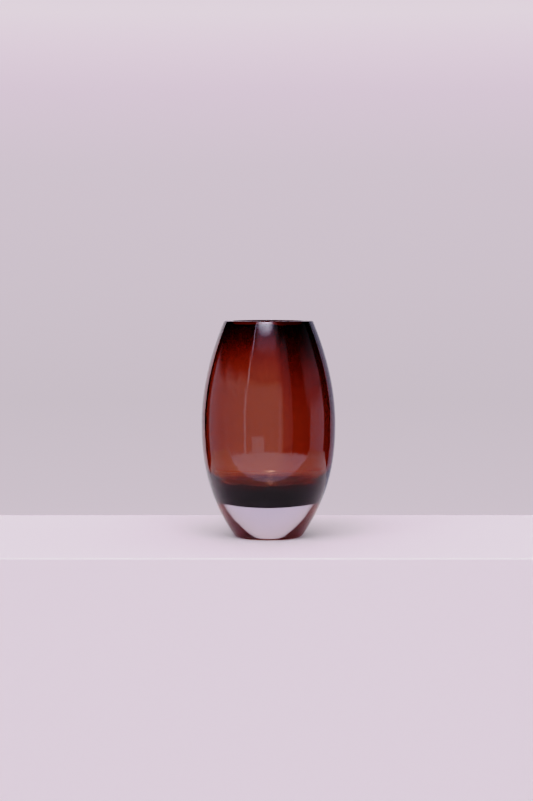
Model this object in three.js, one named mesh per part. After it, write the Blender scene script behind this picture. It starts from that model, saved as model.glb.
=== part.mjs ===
// A barrel-shaped cased glass vase, open at the top and standing on a flat foot.
// Two layers of glass are fused one inside the other: a clear casing, solid and heavy at the
// foot, and a tinted liner that holds the water, thin at the belly and thick at the rim.
// The origin is the middle of the foot, and +Z is up. All lengths are in millimetres.

import * as THREE from 'three';

// Outside shape
const height = 200;
const rimRadius = 41;
const bellyRadius = 62;
const bellyHeight = 106;
const footRadius = 31;
const upperCurve = 1.89; // power of the curve from the belly to the rim: 1 is a straight cone
const lowerCurve = 2.36; // power of the curve from the belly to the foot

// Clear casing: the glass outside the seam
const casingWall = 3.2;
const casingRimWall = 2.6;
const casingFoot = 35.5; // solid glass under the seam, at the middle
const seamFlatness = 8; // how flat the seam's floor is: 2 is a half ball, 20 nearly a flat disc

// Tinted liner: the glass between the seam and the hollow
const linerWall = 1.3;
const linerRimWall = 5;
const linerFloor = 6; // at the middle
const hollowFlatness = 24;

// Both layers
const wallSwell = 5; // power of the swelling from the belly wall to the rim wall
const seamGap = 0.05; // keeps the two layers separate solids, where the real ones are fused
const footEdge = 2; // fire-polished edge round the foot
const rimEdge = 0.5; // softened edges of the ground rim

// Fineness of the outlines
const turnSteps = 48;
const bowlSteps = 14;
const wallSteps = 9;
const edgeSteps = 3;

// Each layer is hollowed out of what lies outside it. A hollow is described by its floor
// height, by how deep its side lies in that body at the belly and at the rim, and by how flat
// its floor is.
const seam = {
  floor: casingFoot,
  side: casingWall,
  rim: casingRimWall,
  flatness: seamFlatness,
};
const linerOutside = {
  floor: seam.floor + seamGap,
  side: seam.side + seamGap,
  rim: seam.rim + seamGap,
  flatness: seam.flatness,
};
const waterHollow = {
  floor: seam.floor + linerFloor,
  side: linerWall,
  rim: linerRimWall,
  flatness: hollowFlatness,
};

// Share of the way from the belly up to the rim, and 0 below the belly.
function riseAt(z) {
  return Math.max(0, (z - bellyHeight) / (height - bellyHeight));
}

// Share of the way from the belly down to a floor, and 0 above the belly.
function dropAt(z, floor) {
  return Math.max(0, (bellyHeight - z) / (bellyHeight - floor));
}

// Radius of the outside wall at height z: two power curves that meet upright at the belly.
function outsideRadius(z) {
  const narrowedAbove = (bellyRadius - rimRadius) * riseAt(z) ** upperCurve;
  const narrowedBelow = (bellyRadius - footRadius) * dropAt(z, 0) ** lowerCurve;
  return bellyRadius - narrowedAbove - narrowedBelow;
}

// Radius at height z of a hollow inside a body of that radius: the layer between them swells
// towards the rim, and the hollow rounds in to the middle of its floor.
function hollowRadius(bodyRadius, hollow, z) {
  const depth = hollow.side + (hollow.rim - hollow.side) * riseAt(z) ** wallSwell;
  const rounding = Math.sqrt(1 - dropAt(z, hollow.floor) ** hollow.flatness);
  return (bodyRadius - depth) * rounding;
}

function seamRadius(z) {
  return hollowRadius(outsideRadius(z), seam, z);
}

function linerOutsideRadius(z) {
  return hollowRadius(outsideRadius(z), linerOutside, z);
}

function waterHollowRadius(z) {
  return hollowRadius(seamRadius(z), waterHollow, z);
}

// Points between two heights, both included, on the curve that radiusAt gives.
function wallPoints(radiusAt, low, high) {
  const points = [];
  for (let step = 0; step <= wallSteps; step += 1) {
    const z = low + (high - low) * (step / wallSteps);
    points.push(new THREE.Vector2(radiusAt(z), z));
  }
  return points;
}

// Outline of a hollow from the middle of its floor up to the height top. The points lie closer
// together near the floor, where the outline turns most.
function hollowPoints(radiusAt, floor, top) {
  const points = [];
  for (let step = 0; step < bowlSteps; step += 1) {
    const z = floor + (bellyHeight - floor) * (step / bowlSteps) ** 2;
    points.push(new THREE.Vector2(radiusAt(z), z));
  }
  return points.concat(wallPoints(radiusAt, bellyHeight, top));
}

// Points inside a softened edge, without its two ends.
function edgePoints(start, corner, end) {
  const curve = new THREE.QuadraticBezierCurve(start, corner, end);
  return curve.getPoints(edgeSteps).slice(1, -1);
}

// Outside of the casing: the flat foot, its edge, the wall, and the rim's outer edge.
function outsidePoints() {
  const footFlat = new THREE.Vector2(footRadius - footEdge, 0);
  const lower = wallPoints(outsideRadius, footEdge, bellyHeight);
  const upper = wallPoints(outsideRadius, bellyHeight, height - rimEdge).slice(1);
  const rimFlat = new THREE.Vector2(rimRadius - rimEdge, height);
  return [
    new THREE.Vector2(0, 0),
    footFlat,
    ...edgePoints(footFlat, new THREE.Vector2(footRadius, 0), lower[0]),
    ...lower,
    ...upper,
    ...edgePoints(upper.at(-1), new THREE.Vector2(rimRadius, height), rimFlat),
    rimFlat,
  ];
}

// Inside of the liner, from the floor up to the rim, with the rim's inner edge.
function insidePoints() {
  const inside = hollowPoints(waterHollowRadius, waterHollow.floor, height - rimEdge);
  const mouthRadius = waterHollowRadius(height);
  const rimFlat = new THREE.Vector2(mouthRadius + rimEdge, height);
  const corner = new THREE.Vector2(mouthRadius, height);
  return [...inside, ...edgePoints(inside.at(-1), corner, rimFlat), rimFlat];
}

// One layer of glass: an outline turned round the Z axis, up its outside and down its inside.
function turnedLayer(name, outside, inside, material) {
  const outline = [...outside, ...inside.toReversed()];
  const geometry = new THREE.LatheGeometry(outline, turnSteps);
  geometry.rotateX(Math.PI / 2);
  const layer = new THREE.Mesh(geometry, material);
  layer.name = name;
  return layer;
}

function clearCasing() {
  const clearGlass = new THREE.MeshStandardMaterial({
    color: 0xe6e2ea,
    roughness: 0.03,
    metalness: 0,
    transparent: true,
    opacity: 0.35,
  });
  const inside = hollowPoints(seamRadius, seam.floor, height);
  return turnedLayer('clear_casing', outsidePoints(), inside, clearGlass);
}

function tintedLiner() {
  const tintedGlass = new THREE.MeshStandardMaterial({
    color: 0x7a2a20,
    roughness: 0.03,
    metalness: 0,
    transparent: true,
    opacity: 0.8,
  });
  const outside = hollowPoints(linerOutsideRadius, linerOutside.floor, height);
  return turnedLayer('tinted_liner', outside, insidePoints(), tintedGlass);
}

const vase = new THREE.Group();
vase.add(clearCasing());
vase.add(tintedLiner());

export default vase;
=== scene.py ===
"""Looks for a cased glass barrel vase: a clear casing with a heavy foot, fused round a tinted liner.

Every length inside the script is in metres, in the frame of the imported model: +Z up, origin in
the middle of the foot.
"""

import math

import bpy
import numpy as np
from bpy.props import (
    FloatProperty,
    FloatVectorProperty,
    IntProperty,
    PointerProperty,
    StringProperty,
)
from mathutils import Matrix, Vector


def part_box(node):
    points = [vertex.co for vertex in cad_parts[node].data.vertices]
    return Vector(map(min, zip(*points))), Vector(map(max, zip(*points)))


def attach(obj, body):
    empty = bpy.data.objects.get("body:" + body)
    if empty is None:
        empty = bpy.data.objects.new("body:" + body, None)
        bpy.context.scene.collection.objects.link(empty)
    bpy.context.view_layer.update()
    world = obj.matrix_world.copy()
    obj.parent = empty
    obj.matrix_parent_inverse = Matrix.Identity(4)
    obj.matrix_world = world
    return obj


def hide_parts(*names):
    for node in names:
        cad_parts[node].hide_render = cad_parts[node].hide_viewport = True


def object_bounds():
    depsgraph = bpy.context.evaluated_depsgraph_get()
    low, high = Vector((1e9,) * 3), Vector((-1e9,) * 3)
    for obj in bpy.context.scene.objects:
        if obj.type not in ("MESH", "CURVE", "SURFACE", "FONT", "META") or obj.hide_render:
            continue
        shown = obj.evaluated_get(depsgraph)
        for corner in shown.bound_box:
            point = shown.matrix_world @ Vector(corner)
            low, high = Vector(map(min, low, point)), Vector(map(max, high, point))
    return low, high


bl_info = {
    "name": "Cased Glass Vase",
    "version": (1, 0, 0),
    "blender": (4, 5, 0),
    "location": "3D View > Sidebar > Vase",
    "description": "Builds a cased glass barrel vase and the studio round it",
    "category": "Add Mesh",
}

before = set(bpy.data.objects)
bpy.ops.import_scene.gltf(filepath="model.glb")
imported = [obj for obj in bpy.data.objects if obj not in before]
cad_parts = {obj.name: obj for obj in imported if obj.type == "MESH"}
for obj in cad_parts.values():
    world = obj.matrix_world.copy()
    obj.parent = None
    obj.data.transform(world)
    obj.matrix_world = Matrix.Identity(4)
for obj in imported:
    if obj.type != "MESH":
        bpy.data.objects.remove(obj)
CAD_LOW, CAD_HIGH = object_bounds()
SEAM_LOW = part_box("tinted_liner")[0]

MM = 0.001
SEAM_GAP = 0.05 * MM

# Waves that blowing and turning leave in the glass
RIPPLE_LENGTH = 16 * MM
RIPPLE_DEPTH = 0.12 * MM

# The liner is thicker on its right. The swell begins where the cosine of the turn from the right
# passes SWELL_START, and is full SWELL_SPREAD further on. The belly and all under it have
# BELLY_SHARE of its depth, and from there it grows to the rim by the power SWELL_RISE.
SWELL_START = 0.12
SWELL_SPREAD = 0.3
BELLY_SHARE = 0.12
SWELL_RISE = 1.5

# Orange peel that a paint roller leaves
PEEL_LENGTH = 3 * MM
PEEL_DEPTH = 0.01 * MM

# Colour of the pale backdrop against its height over the horizon, in degrees. Its lighter and darker
# bands are painted light and shade falling on it.
BACKDROP_WITH_PAINTED_LIGHT = (
    (-9.0, "E3D2E1"),
    (-6.7, "DBCCD9"),
    (-3.6, "D6C8D4"),
    (-0.3, "DBCCD9"),
    (3.3, "DFCFDD"),
    (5.6, "E7D4E5"),
    (7.9, "F4E5F0"),
    (12.0, "D8CBD8"),
    (20.0, "C8B5D1"),
    (40.0, "D5BBCD"),
)
BACKDROP_GLOW = 1.2

# The lists below are soft rectangles, as seen from the vase. Each has its sides, as angles round
# from straight in front, its ends, as angles over the horizon, its brightness or darkness, and
# how soft its sides and its ends are. All angles are in degrees.

# Dark flags either side of the backdrop, which draw the dark edges of the glass. Only light that
# comes through the glass shows them: the backdrop itself and what the glass mirrors don't.
FLAGS = (
    ((-150.5, -142), (-8, 10), 1.0, 2, 8),
    ((146, 164), (-6, 8), 0.9, 9, 10),
    ((-126, -104), (12, 44), 0.75, 10, 12),
    ((104, 126), (12, 44), 0.75, 10, 12),
)

# The part of the backdrop that the edges of the glass mirror, with its own brightness
BACKDROP_MIRRORED = (
    ((-180, -141), (-90, 90), 1.4, 1, 1),
    ((168, 180), (-90, 90), 1.2, 1, 1),
)

# The room that the glass mirrors, and faintly the sheen of the plinth. Only mirrored light shows
# it.
ROOM_COLOUR = "E9E2FF"
ROOM = (
    ((-124, -75), (-70, 14), 1.04, 3, 3),  # pale walls on the left
    ((-90, -45), (-70, 18), 1.16, 10, 4),
    ((-60, 26), (-70, 20), 1.16, 2, 4),  # pale wall in front, up to its top
    ((26, 42), (-14, 36), 0.58, 2, 4),
    ((-38, 26), (18, 50), 0.67, 3, 4),  # upper wall in front, lighter under the window
    ((-32, 20), (31, 60), 1.5, 8, 4),
    ((-28, 8), (42, 85), 18.0, 14, 5.5),  # window high up
    ((-43, -39), (-60, 17), 2.2, 0.8, 5),  # bright edge of a door frame
    ((-40.5, -36.5), (14, 29), 2.4, 0.8, 6),
    ((-38, -34), (29, 70), 3.0, 0.8, 6),
    ((17, 21.5), (-16, 12), 1.46, 0.8, 2),
    ((-29, -7), (-16, -7), 1.95, 1, 1),  # low table
    ((76, 111), (-70, 9), 1.15, 2, 8),  # pale wall on the right
    ((70, 111), (6, 21), 0.78, 3, 10),
    ((133, 168), (-70, 30), 0.66, 2, 8),
    ((-180, 180), (60, 90), 1.1, 1, 6),  # ceiling
)

# Pale floor of the room, seen past the plinth. Furniture breaks up its far edge.
FLOOR = ((-180, 180), (-90, -14.5), 2.32, 1, 0.8)
FURNITURE_HEIGHT = 7.0
FURNITURE_WIDTH = 2.8

# Plinth: the gap that keeps it clear of the foot, and its eased edges
PLINTH_GAP = 0.1 * MM
PLINTH_EDGE = 1.5 * MM

# Width of a full-frame camera's sensor, in millimetres
SENSOR_WIDTH = 36

# Soft light high up in front
KEY_COLOUR = "FFF7FF"
KEY = ((-60, 40), (35, 75), 3.25, 12, 12)
SOFT_GLOW = 1.12

# How a camera's film answers to light: deep shades sink and the palest tones level off. Pairs
# of brightness and tone.
FILM = (
    (0, 0),
    (0.02, 0.005),
    (0.05, 0.017),
    (0.08, 0.043),
    (0.12, 0.088),
    (0.2, 0.175),
    (0.36, 0.315),
    (0.6, 0.46),
    (0.85, 0.6),
    (1.12, 0.745),
    (2, 0.9),
)


# ---------------------------------------------------------------- sizes and colours


class VaseShape(bpy.types.PropertyGroup):
    """Outline of the vase and of its two layers of glass."""

    height: FloatProperty(
        name="Height",
        description="From the table to the ground rim",
        default=CAD_HIGH.z,
        unit="LENGTH",
    )
    belly_radius: FloatProperty(
        name="Belly radius",
        description="Widest outside radius",
        default=CAD_HIGH.x,
        unit="LENGTH",
    )
    belly_height: FloatProperty(
        name="Belly height",
        description="Height of the widest ring",
        default=106 * MM,
        unit="LENGTH",
    )
    rim_radius: FloatProperty(
        name="Rim radius",
        description="Outside radius of the rim",
        default=41 * MM,
        unit="LENGTH",
    )
    foot_radius: FloatProperty(
        name="Foot radius",
        description="Outside radius of the foot",
        default=31 * MM,
        unit="LENGTH",
    )
    upper_curve: FloatProperty(
        name="Upper curve",
        description="Power of the curve from the belly to the rim",
        default=1.89,
    )
    lower_curve: FloatProperty(
        name="Lower curve",
        description="Power of the curve from the belly to the foot",
        default=2.36,
    )
    casing_foot: FloatProperty(
        name="Casing foot",
        description="Solid clear glass under the seam, at the middle",
        default=SEAM_LOW.z - SEAM_GAP,
        unit="LENGTH",
    )
    casing_wall: FloatProperty(
        name="Casing wall",
        description="Clear glass at the belly",
        default=3.2 * MM,
        unit="LENGTH",
    )
    casing_rim_wall: FloatProperty(
        name="Casing rim wall",
        description="Clear glass at the rim",
        default=2.6 * MM,
        unit="LENGTH",
    )
    seam_flatness: FloatProperty(
        name="Seam flatness",
        description="How flat the floor of the seam is",
        default=8,
    )
    liner_wall: FloatProperty(
        name="Liner wall",
        description="Tinted glass at the belly",
        default=1.3 * MM,
        unit="LENGTH",
    )
    liner_rim_wall: FloatProperty(
        name="Liner rim wall",
        description="Tinted glass at the rim",
        default=5 * MM,
        unit="LENGTH",
    )
    liner_floor: FloatProperty(
        name="Liner floor",
        description="Tinted glass under the hollow, at the middle",
        default=6 * MM,
        unit="LENGTH",
    )
    hollow_flatness: FloatProperty(
        name="Hollow flatness",
        description="How flat the floor of the hollow is",
        default=24,
    )
    wall_swell: FloatProperty(
        name="Wall swell",
        description="Power of the swelling from the belly wall to the rim wall",
        default=5,
    )
    side_swell: FloatProperty(
        name="Side swell",
        description="How much thicker the tinted wall is on its right, at the rim",
        default=1.5 * MM,
        unit="LENGTH",
    )
    foot_edge: FloatProperty(
        name="Foot edge",
        description="Size of the fire-polished edge round the foot",
        default=2 * MM,
        unit="LENGTH",
    )
    rim_edge: FloatProperty(
        name="Rim edge",
        description="Size of the softened edges of the rim",
        default=0.5 * MM,
        unit="LENGTH",
    )
    turn_steps: IntProperty(
        name="Turn steps",
        description="Faces round the vase",
        default=256,
    )
    wall_steps: IntProperty(
        name="Wall steps",
        description="Faces up each wall",
        default=72,
    )


class VaseGlass(bpy.types.PropertyGroup):
    """The clear glass and the tinted one."""

    glass_index: FloatProperty(
        name="Index",
        description="Refractive index of both glasses",
        default=1.54,
    )
    tint: FloatVectorProperty(
        name="Tint",
        description="Light that the tinted glass takes away from red, green and blue, per mm",
        default=(0.49, 1.08, 1.58),
        min=0,
        soft_max=5,
    )


class VaseStudio(bpy.types.PropertyGroup):
    """Plinth, light and camera."""

    eye_distance: FloatProperty(
        name="Eye distance",
        description="From the vase's axis to the camera",
        default=1.765,
        unit="LENGTH",
    )
    eye_side: FloatProperty(
        name="Eye side",
        description="How far the camera stands to the right of the vase",
        default=-1.8 * MM,
        unit="LENGTH",
    )
    eye_height: FloatProperty(
        name="Eye height",
        description="Camera height over the plinth",
        default=0.2375,
        unit="LENGTH",
    )
    eye_pitch: FloatProperty(
        name="Eye pitch",
        description="How far the camera looks down",
        default=math.radians(3.608),
        subtype="ANGLE",
    )
    lens: FloatProperty(
        name="Lens",
        description="Focal length of the camera's lens",
        default=85.84,
        unit="CAMERA",
    )
    plinth_front: FloatProperty(
        name="Plinth front",
        description="From the vase's axis to the front edge of the plinth",
        default=0.142,
        unit="LENGTH",
    )
    plinth_back: FloatProperty(
        name="Plinth back",
        description="From the vase's axis to the back edge of the plinth",
        default=0.16,
        unit="LENGTH",
    )
    plinth_width: FloatProperty(
        name="Plinth width",
        description="From the left end of the plinth to its right end",
        default=0.9,
        unit="LENGTH",
    )
    plinth_height: FloatProperty(
        name="Plinth height",
        description="Height of the plinth's front",
        default=0.26,
        unit="LENGTH",
    )
    paint: StringProperty(
        name="Paint",
        description="Colour of the plinth's paint, sRGB hex",
        default="E9E0E7",
    )
    soft_light: StringProperty(
        name="Soft light",
        description="Colour of the soft light from all round, sRGB hex",
        default="E6E0E6",
    )


def srgb(colour):
    """An sRGB hex colour as a linear RGBA tuple."""
    channels = [int(colour[i:i + 2], 16) / 255 for i in (0, 2, 4)]
    return (*[c / 12.92 if c <= 0.04045 else ((c + 0.055) / 1.055) ** 2.4 for c in channels], 1.0)


# ---------------------------------------------------------------- outlines


def rise_at(shape, z):
    """Share of the way from the belly up to the rim, and 0 below the belly."""
    return np.maximum(0, (z - shape.belly_height) / (shape.height - shape.belly_height))


def drop_at(shape, z, floor):
    """Share of the way from the belly down to a floor, and 0 above the belly."""
    return np.clip((shape.belly_height - z) / (shape.belly_height - floor), 0, 1)


def outside_radius(shape, z):
    """Radius of the outside wall: two power curves that meet upright at the belly."""
    above = (shape.belly_radius - shape.rim_radius) * rise_at(shape, z) ** shape.upper_curve
    below = (shape.belly_radius - shape.foot_radius) * drop_at(shape, z, 0) ** shape.lower_curve
    return shape.belly_radius - above - below


def hollow_radius(shape, body, z, floor, side, rim, flatness):
    """Radius of a hollow in a body of that radius, rounded in to the middle of its floor."""
    depth = side + (rim - side) * rise_at(shape, z) ** shape.wall_swell
    return (body - depth) * np.sqrt(1 - drop_at(shape, z, floor) ** flatness)


def seam_radius(shape, z, gap=0.0):
    """Radius of the seam between the layers, or of a surface that gap inside it."""
    return hollow_radius(
        shape,
        outside_radius(shape, z),
        z,
        shape.casing_foot + gap,
        shape.casing_wall + gap,
        shape.casing_rim_wall + gap,
        shape.seam_flatness,
    )


def water_radius(shape, z, turn):
    """Radius of the hollow that holds the water, at a turn from the right, where the wall swells."""
    radius = hollow_radius(
        shape,
        seam_radius(shape, z),
        z,
        shape.casing_foot + shape.liner_floor,
        shape.liner_wall,
        shape.liner_rim_wall,
        shape.hollow_flatness,
    )
    side = np.clip((math.cos(turn) - SWELL_START) / SWELL_SPREAD, 0, 1)
    growth = BELLY_SHARE + (1 - BELLY_SHARE) * rise_at(shape, z) ** SWELL_RISE
    swell = shape.side_swell * growth * side * side * (3 - 2 * side)
    return radius - swell * np.minimum(1, radius / shape.foot_radius)


def soft_edge(start, corner, end, steps=6):
    """Points inside a softened edge, without its two ends."""
    t = np.linspace(0, 1, steps + 1)[1:-1, None]
    return (1 - t) ** 2 * start + 2 * t * (1 - t) * corner + t ** 2 * end


def bowl_points(shape, radius_at, floor, top):
    """Outline of a hollow, from the middle of its floor up to the height top."""
    bowl = floor + (shape.belly_height - floor) * np.linspace(0, 1, shape.wall_steps) ** 2
    wall = np.linspace(shape.belly_height, top, shape.wall_steps)[1:]
    z = np.concatenate([bowl, wall])
    return np.stack([radius_at(z), z], axis=1)


def outside_points(shape):
    """Outside of the casing: the flat foot, its edge, the wall and the rim's outer edge."""
    foot_flat = np.array([shape.foot_radius - shape.foot_edge, 0.0])
    rim_flat = np.array([shape.rim_radius - shape.rim_edge, shape.height])
    z = np.linspace(shape.foot_edge, shape.height - shape.rim_edge, 2 * shape.wall_steps)
    wall = np.stack([outside_radius(shape, z), z], axis=1)
    foot_corner = np.array([shape.foot_radius, 0.0])
    rim_corner = np.array([shape.rim_radius, shape.height])
    return np.vstack([
        [0.0, 0.0],
        foot_flat,
        soft_edge(foot_flat, foot_corner, wall[0]),
        wall,
        soft_edge(wall[-1], rim_corner, rim_flat),
        rim_flat,
    ])


def water_points(shape, turn):
    """Inside of the liner at one turn: the floor, the wall and the rim's inner edge."""
    def radius_at(z):
        return water_radius(shape, z, turn)

    floor = shape.casing_foot + shape.liner_floor
    inside = bowl_points(shape, radius_at, floor, shape.height - shape.rim_edge)
    mouth = float(radius_at(np.array(shape.height)))
    rim_flat = np.array([mouth + shape.rim_edge, shape.height])
    corner = np.array([mouth, shape.height])
    return np.vstack([inside, soft_edge(inside[-1], corner, rim_flat), rim_flat])


def seam_points(shape, gap=0.0):
    """Outline of the seam, or of a surface that gap inside it."""
    def radius_at(z):
        return seam_radius(shape, z, gap)

    return bowl_points(shape, radius_at, shape.casing_foot + gap, shape.height)


# ---------------------------------------------------------------- meshes


def turned(name, outline_at, on_seam, steps, index):
    """A closed turned piece. outline_at gives its outline at a turn, up its outside and down
    its inside, and on_seam says which stretches of the outline are the fused seam.

    The face attribute index_step is the refractive index across a face: the glass's own
    against air, and 1 at the seam, where the glass goes straight on into the other layer.
    """
    outlines = [outline_at(2 * math.pi * step / steps) for step in range(steps)]
    verts = [(0.0, 0.0, outlines[0][0][1])]
    for step, outline in enumerate(outlines):
        turn = 2 * math.pi * step / steps
        verts += [(r * math.cos(turn), r * math.sin(turn), z) for r, z in outline[1:-1]]
    verts.append((0.0, 0.0, outlines[0][-1][1]))
    count = len(outlines[0]) - 2
    top = len(verts) - 1
    faces = []
    for step in range(steps):
        here, there = 1 + step * count, 1 + (step + 1) % steps * count
        faces.append((0, there, here))
        for row in range(count - 1):
            faces.append((here + row, there + row, there + row + 1, here + row + 1))
        faces.append((here + count - 1, there + count - 1, top))
    mesh = bpy.data.meshes.new(name)
    mesh.from_pydata(verts, [], faces)
    mesh.polygons.foreach_set("use_smooth", [True] * len(faces))
    steps_across = [1.0 if seam else index for seam in on_seam] * steps
    mesh.attributes.new("index_step", "FLOAT", "FACE").data.foreach_set("value", steps_across)
    mesh.validate()
    piece = bpy.data.objects.new(name, mesh)
    bpy.context.scene.collection.objects.link(piece)
    return piece


# ---------------------------------------------------------------- materials


def add(tree, kind, inputs=None, **settings):
    """Adds a node. inputs gives its inputs, by name or number, a value or a socket to link."""
    node = tree.nodes.new(kind)
    for name, value in settings.items():
        setattr(node, name, value)
    for name, value in (inputs or {}).items():
        if isinstance(value, bpy.types.NodeSocket):
            tree.links.new(value, node.inputs[name])
        else:
            node.inputs[name].default_value = value
    return node


def empty_material(name):
    """A new material of that name, with no nodes."""
    material = bpy.data.materials.new(name)
    material.use_nodes = True
    material.node_tree.nodes.clear()
    return material


def bumpy(tree, length, depth):
    """Normals of a surface with soft bumps of that length and depth."""
    place = add(tree, "ShaderNodeTexCoord").outputs["Object"]
    bumps = add(tree, "ShaderNodeTexNoise", {"Vector": place, "Scale": 1 / length, "Detail": 1.0})
    surface = add(
        tree,
        "ShaderNodeBump",
        {"Height": bumps.outputs["Fac"], "Strength": 1.0, "Distance": depth},
    )
    return surface.outputs["Normal"]


def blown_surface(tree):
    """Blown glass, fire-polished: sharp mirrors and clear sight through faint slow waves."""
    index = add(tree, "ShaderNodeAttribute", attribute_name="index_step")
    glass = add(
        tree,
        "ShaderNodeBsdfPrincipled",
        {
            "Base Color": (1, 1, 1, 1),
            "Roughness": 0.0,
            "IOR": index.outputs["Fac"],
            "Transmission Weight": 1.0,
            "Normal": bumpy(tree, RIPPLE_LENGTH, RIPPLE_DEPTH),
        },
    )
    return glass.outputs[0]


def clear_glass():
    """Clear glass, blown and fire-polished: bright, colourless and sharp."""
    material = empty_material("clear_blown_glass")
    tree = material.node_tree
    add(tree, "ShaderNodeOutputMaterial", {"Surface": blown_surface(tree)})
    return material


def tinted_glass(taken):
    """Red-brown tinted glass: clear and red where it is thin, nearly black where it is deep."""
    material = empty_material("tinted_blown_glass")
    tree = material.node_tree
    density = max(taken) * 1.001  # a shade over the most, so that no channel of the colour is 0
    depth = add(
        tree,
        "ShaderNodeVolumeAbsorption",
        {
            "Color": (*[1 - share / density for share in taken], 1),
            "Density": density / MM,
        },
    )
    add(
        tree,
        "ShaderNodeOutputMaterial",
        {"Surface": blown_surface(tree), "Volume": depth.outputs[0]},
    )
    return material


def matt_emulsion(studio):
    """Matt emulsion, rolled on: pale and even, with the faint orange peel of the roller."""
    material = empty_material("matt_emulsion")
    tree = material.node_tree
    paint = add(
        tree,
        "ShaderNodeBsdfPrincipled",
        {
            "Base Color": srgb(studio.paint),
            "Roughness": 0.8,
            "Specular IOR Level": 0.2,
            "Normal": bumpy(tree, PEEL_LENGTH, PEEL_DEPTH),
        },
    )
    add(tree, "ShaderNodeOutputMaterial", {"Surface": paint.outputs[0]})
    return material


# ---------------------------------------------------------------- studio


def soft_rectangle(tree, turn, lift, sides, ends, glow, side_blur, end_blur):
    """Brightness of one soft rectangle. Each of its four edges fades it in or out."""
    for angle, edges, blur in ((turn, sides, side_blur), (lift, ends, end_blur)):
        for edge, way in zip(edges, (-1, 1)):
            fade = add(
                tree,
                "ShaderNodeMapRange",
                {
                    "Value": angle,
                    "From Min": math.radians(edge + way * blur),
                    "From Max": math.radians(edge - way * blur),
                    "To Max": glow,
                },
                interpolation_type="SMOOTHSTEP",
            )
            glow = fade.outputs[0]
    return glow


def brightest(tree, turn, lift, rectangles):
    """Brightness where any of these soft rectangles lies, the brightest of them first."""
    glow = 0.0
    for rectangle in rectangles:
        here = soft_rectangle(tree, turn, lift, *rectangle)
        glow = add(tree, "ShaderNodeMath", {0: glow, 1: here}, operation="MAXIMUM").outputs[0]
    return glow


def backdrop_with_painted_light(tree, lift):
    """Colour of the pale backdrop at a height over the horizon, with painted light and shade in its
    lighter and darker bands.
    """
    lowest, highest = BACKDROP_WITH_PAINTED_LIGHT[0][0], BACKDROP_WITH_PAINTED_LIGHT[-1][0]
    share = add(
        tree,
        "ShaderNodeMapRange",
        {
            "Value": lift,
            "From Min": math.radians(lowest),
            "From Max": math.radians(highest),
        },
    )
    ramp = add(tree, "ShaderNodeValToRGB", {"Fac": share.outputs[0]})
    stops = ramp.color_ramp.elements
    while len(stops) < len(BACKDROP_WITH_PAINTED_LIGHT):
        stops.new(0.5)
    for stop, (angle, colour) in zip(stops, BACKDROP_WITH_PAINTED_LIGHT):
        stop.position = (angle - lowest) / (highest - lowest)
        stop.color = srgb(colour)
    return ramp.outputs["Color"]


def room_glow(tree, turn, lift):
    """Brightness of the room and of its floor, whose far edge wanders up and down."""
    wander = add(
        tree,
        "ShaderNodeTexNoise",
        {"W": turn, "Scale": 1 / math.radians(FURNITURE_WIDTH), "Detail": 3.0},
        noise_dimensions="1D",
    )
    height = math.radians(FURNITURE_HEIGHT)
    lifted = add(
        tree,
        "ShaderNodeMath",
        {0: wander.outputs["Fac"], 1: height, 2: -height / 2},
        operation="MULTIPLY_ADD",
    )
    edge = add(tree, "ShaderNodeMath", {0: lift, 1: lifted.outputs[0]}, operation="ADD").outputs[0]
    floor = soft_rectangle(tree, turn, edge, *FLOOR)
    room = brightest(tree, turn, lift, ROOM)
    return add(tree, "ShaderNodeMath", {0: floor, 1: room}, operation="MAXIMUM").outputs[0]


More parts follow.
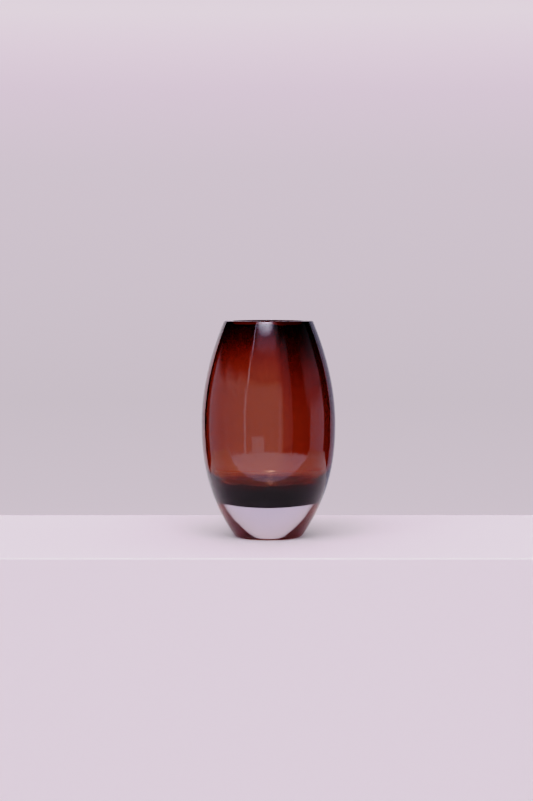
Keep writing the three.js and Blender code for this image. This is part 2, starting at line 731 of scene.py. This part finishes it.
def sky(studio):
    """The soft light, the pale backdrop, and the room that the glass mirrors.

    Each kind of ray gets its own part of them. The camera sees the bare backdrop, a ray through
    the glass sees the backdrop with its flags, and a mirrored ray sees the room. The rest get the
    soft light.
    """
    world = bpy.data.worlds.new("studio")
    bpy.context.scene.world = world
    world.use_nodes = True
    world.cycles.sampling_method = "NONE"
    tree = world.node_tree
    tree.nodes.clear()
    place = add(tree, "ShaderNodeTexCoord").outputs["Generated"]
    x, y, z = add(tree, "ShaderNodeSeparateXYZ", {"Vector": place}).outputs
    lift = add(tree, "ShaderNodeMath", {0: z}, operation="ARCSINE").outputs[0]
    front = add(tree, "ShaderNodeMath", {0: y, 1: -1.0}, operation="MULTIPLY").outputs[0]
    turn = add(tree, "ShaderNodeMath", {0: x, 1: front}, operation="ARCTAN2").outputs[0]

    soft = {"Color": srgb(studio.soft_light), "Strength": SOFT_GLOW}
    key = {"Color": srgb(KEY_COLOUR), "Strength": soft_rectangle(tree, turn, lift, *KEY)}
    lit = add(
        tree,
        "ShaderNodeAddShader",
        {
            0: add(tree, "ShaderNodeBackground", soft).outputs[0],
            1: add(tree, "ShaderNodeBackground", key).outputs[0],
        },
    )
    # the backdrop's colour, with its bands of painted light and shade
    colour = backdrop_with_painted_light(tree, lift)
    pale = add(tree, "ShaderNodeBackground", {"Color": colour, "Strength": BACKDROP_GLOW})
    left_pale = add(
        tree,
        "ShaderNodeMath",
        {0: brightest(tree, turn, lift, FLAGS), 1: -BACKDROP_GLOW, 2: BACKDROP_GLOW},
        operation="MULTIPLY_ADD",
    )
    flagged = add(
        tree,
        "ShaderNodeBackground",
        {"Color": colour, "Strength": left_pale.outputs[0]},
    )
    room = {"Color": srgb(ROOM_COLOUR), "Strength": room_glow(tree, turn, lift)}
    behind = {"Color": colour, "Strength": brightest(tree, turn, lift, BACKDROP_MIRRORED)}
    mirrored = add(
        tree,
        "ShaderNodeAddShader",
        {
            0: add(tree, "ShaderNodeBackground", room).outputs[0],
            1: add(tree, "ShaderNodeBackground", behind).outputs[0],
        },
    )

    rays = add(tree, "ShaderNodeLightPath").outputs
    mirror = add(
        tree,
        "ShaderNodeMath",
        {0: rays["Is Reflection Ray"], 1: rays["Is Diffuse Ray"]},
        operation="SUBTRACT",
        use_clamp=True,
    )
    seen = lit.outputs[0]
    for ray, sight in (
        (rays["Is Camera Ray"], pale),
        (rays["Is Transmission Ray"], flagged),
        (mirror.outputs[0], mirrored),
    ):
        seen = add(tree, "ShaderNodeMixShader", {0: ray, 1: seen, 2: sight.outputs[0]}).outputs[0]
    add(tree, "ShaderNodeOutputWorld", {"Surface": seen})


def plinth(studio):
    """The plain block that the vase stands on, with eased edges."""
    top = -PLINTH_GAP
    depth = studio.plinth_front + studio.plinth_back
    bpy.ops.mesh.primitive_cube_add(size=1)
    block = bpy.context.object
    block.name = "plinth"
    block.dimensions = (studio.plinth_width, depth, studio.plinth_height)
    block.location = (0, studio.plinth_back - depth / 2, top - studio.plinth_height / 2)
    bpy.ops.object.transform_apply(location=True, rotation=False, scale=True)
    edge = block.modifiers.new("edge", "BEVEL")
    edge.width, edge.segments = PLINTH_EDGE, 4
    block.data.materials.append(matt_emulsion(studio))


def camera(studio):
    """A long lens a little above the rim, looking slightly down."""
    data = bpy.data.cameras.new("camera")
    data.lens = studio.lens
    data.sensor_width = SENSOR_WIDTH
    data.clip_start, data.clip_end = 0.05, 50
    eye = bpy.data.objects.new("camera", data)
    eye.location = (studio.eye_side, -studio.eye_distance, studio.eye_height)
    eye.rotation_euler = (math.pi / 2 - studio.eye_pitch, 0, 0)
    bpy.context.scene.collection.objects.link(eye)
    bpy.context.scene.camera = eye


def film(scene):
    """Sets the tone curve."""
    view = scene.view_settings
    view.view_transform = "Standard"
    view.look = "None"
    view.use_curve_mapping = True
    mapping = view.curve_mapping
    reach = FILM[-1][0]
    mapping.white_level = (reach, reach, reach)
    mapping.extend = "HORIZONTAL"
    tone = mapping.curves[3]
    while len(tone.points) < len(FILM):
        tone.points.new(0.5, 0.5)
    for point, (light, shade) in zip(tone.points, FILM):
        point.location = (light / reach, shade)
    mapping.update()


# ---------------------------------------------------------------- operators


class VASE_OT_casing(bpy.types.Operator):
    """Make the clear casing with its solid foot."""

    bl_idname = "vase.casing"
    bl_label = "Clear casing"

    def execute(self, context):
        shape, glass = context.scene.vase_shape, context.scene.vase_glass
        outside, inside = outside_points(shape), seam_points(shape)
        outline = np.vstack([outside, inside[::-1]])
        piece = turned(
            "clear_casing_glass",
            lambda turn: outline,
            [False] * len(outside) + [True] * (len(inside) - 1),
            shape.turn_steps,
            glass.glass_index,
        )
        piece.data.materials.append(clear_glass())
        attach(piece, "root")
        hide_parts("clear_casing")
        return {"FINISHED"}


class VASE_OT_liner(bpy.types.Operator):
    """Make the tinted liner that holds the water."""

    bl_idname = "vase.liner"
    bl_label = "Tinted liner"

    def execute(self, context):
        shape, glass = context.scene.vase_shape, context.scene.vase_glass
        outside = seam_points(shape, SEAM_GAP)
        piece = turned(
            "tinted_liner_glass",
            lambda turn: np.vstack([outside, water_points(shape, turn)[::-1]]),
            [True] * (len(outside) - 1) + [False] * len(water_points(shape, 0)),
            shape.turn_steps,
            glass.glass_index,
        )
        piece.data.materials.append(tinted_glass(glass.tint))
        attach(piece, "root")
        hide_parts("tinted_liner")
        return {"FINISHED"}


class VASE_OT_studio(bpy.types.Operator):
    """Make the plinth, the light and the camera."""

    bl_idname = "vase.studio"
    bl_label = "Studio"

    def execute(self, context):
        studio = context.scene.vase_studio
        sky(studio)
        plinth(studio)
        camera(studio)
        film(context.scene)
        # light crosses up to eight faces of glass each way, the fused seams among them
        paths = context.scene.cycles
        paths.max_bounces = 40
        paths.transmission_bounces = 40
        paths.glossy_bounces = 12
        paths.blur_glossy = 0
        return {"FINISHED"}


class VASE_PT_panel(bpy.types.Panel):
    """The vase's pieces, sizes and glass."""

    bl_idname = "VASE_PT_panel"
    bl_label = "Cased Glass Vase"
    bl_space_type = "VIEW_3D"
    bl_region_type = "UI"
    bl_category = "Vase"

    def draw(self, context):
        layout = self.layout
        for name in STEPS:
            layout.operator(f"vase.{name}")
        for group in (
            context.scene.vase_shape,
            context.scene.vase_glass,
            context.scene.vase_studio,
        ):
            box = layout.box()
            for name in group.__annotations__:
                box.prop(group, name)


STEPS = ("casing", "liner", "studio")
CLASSES = (
    VaseShape,
    VaseGlass,
    VaseStudio,
    VASE_OT_casing,
    VASE_OT_liner,
    VASE_OT_studio,
    VASE_PT_panel,
)


def register():
    for cls in CLASSES:
        bpy.utils.register_class(cls)
    bpy.types.Scene.vase_shape = PointerProperty(type=VaseShape)
    bpy.types.Scene.vase_glass = PointerProperty(type=VaseGlass)
    bpy.types.Scene.vase_studio = PointerProperty(type=VaseStudio)


def unregister():
    del bpy.types.Scene.vase_studio
    del bpy.types.Scene.vase_glass
    del bpy.types.Scene.vase_shape
    for cls in reversed(CLASSES):
        bpy.utils.unregister_class(cls)


def main():
    register()
    for name in STEPS:
        getattr(bpy.ops.vase, name)()


if __name__ == "__main__":
    main()
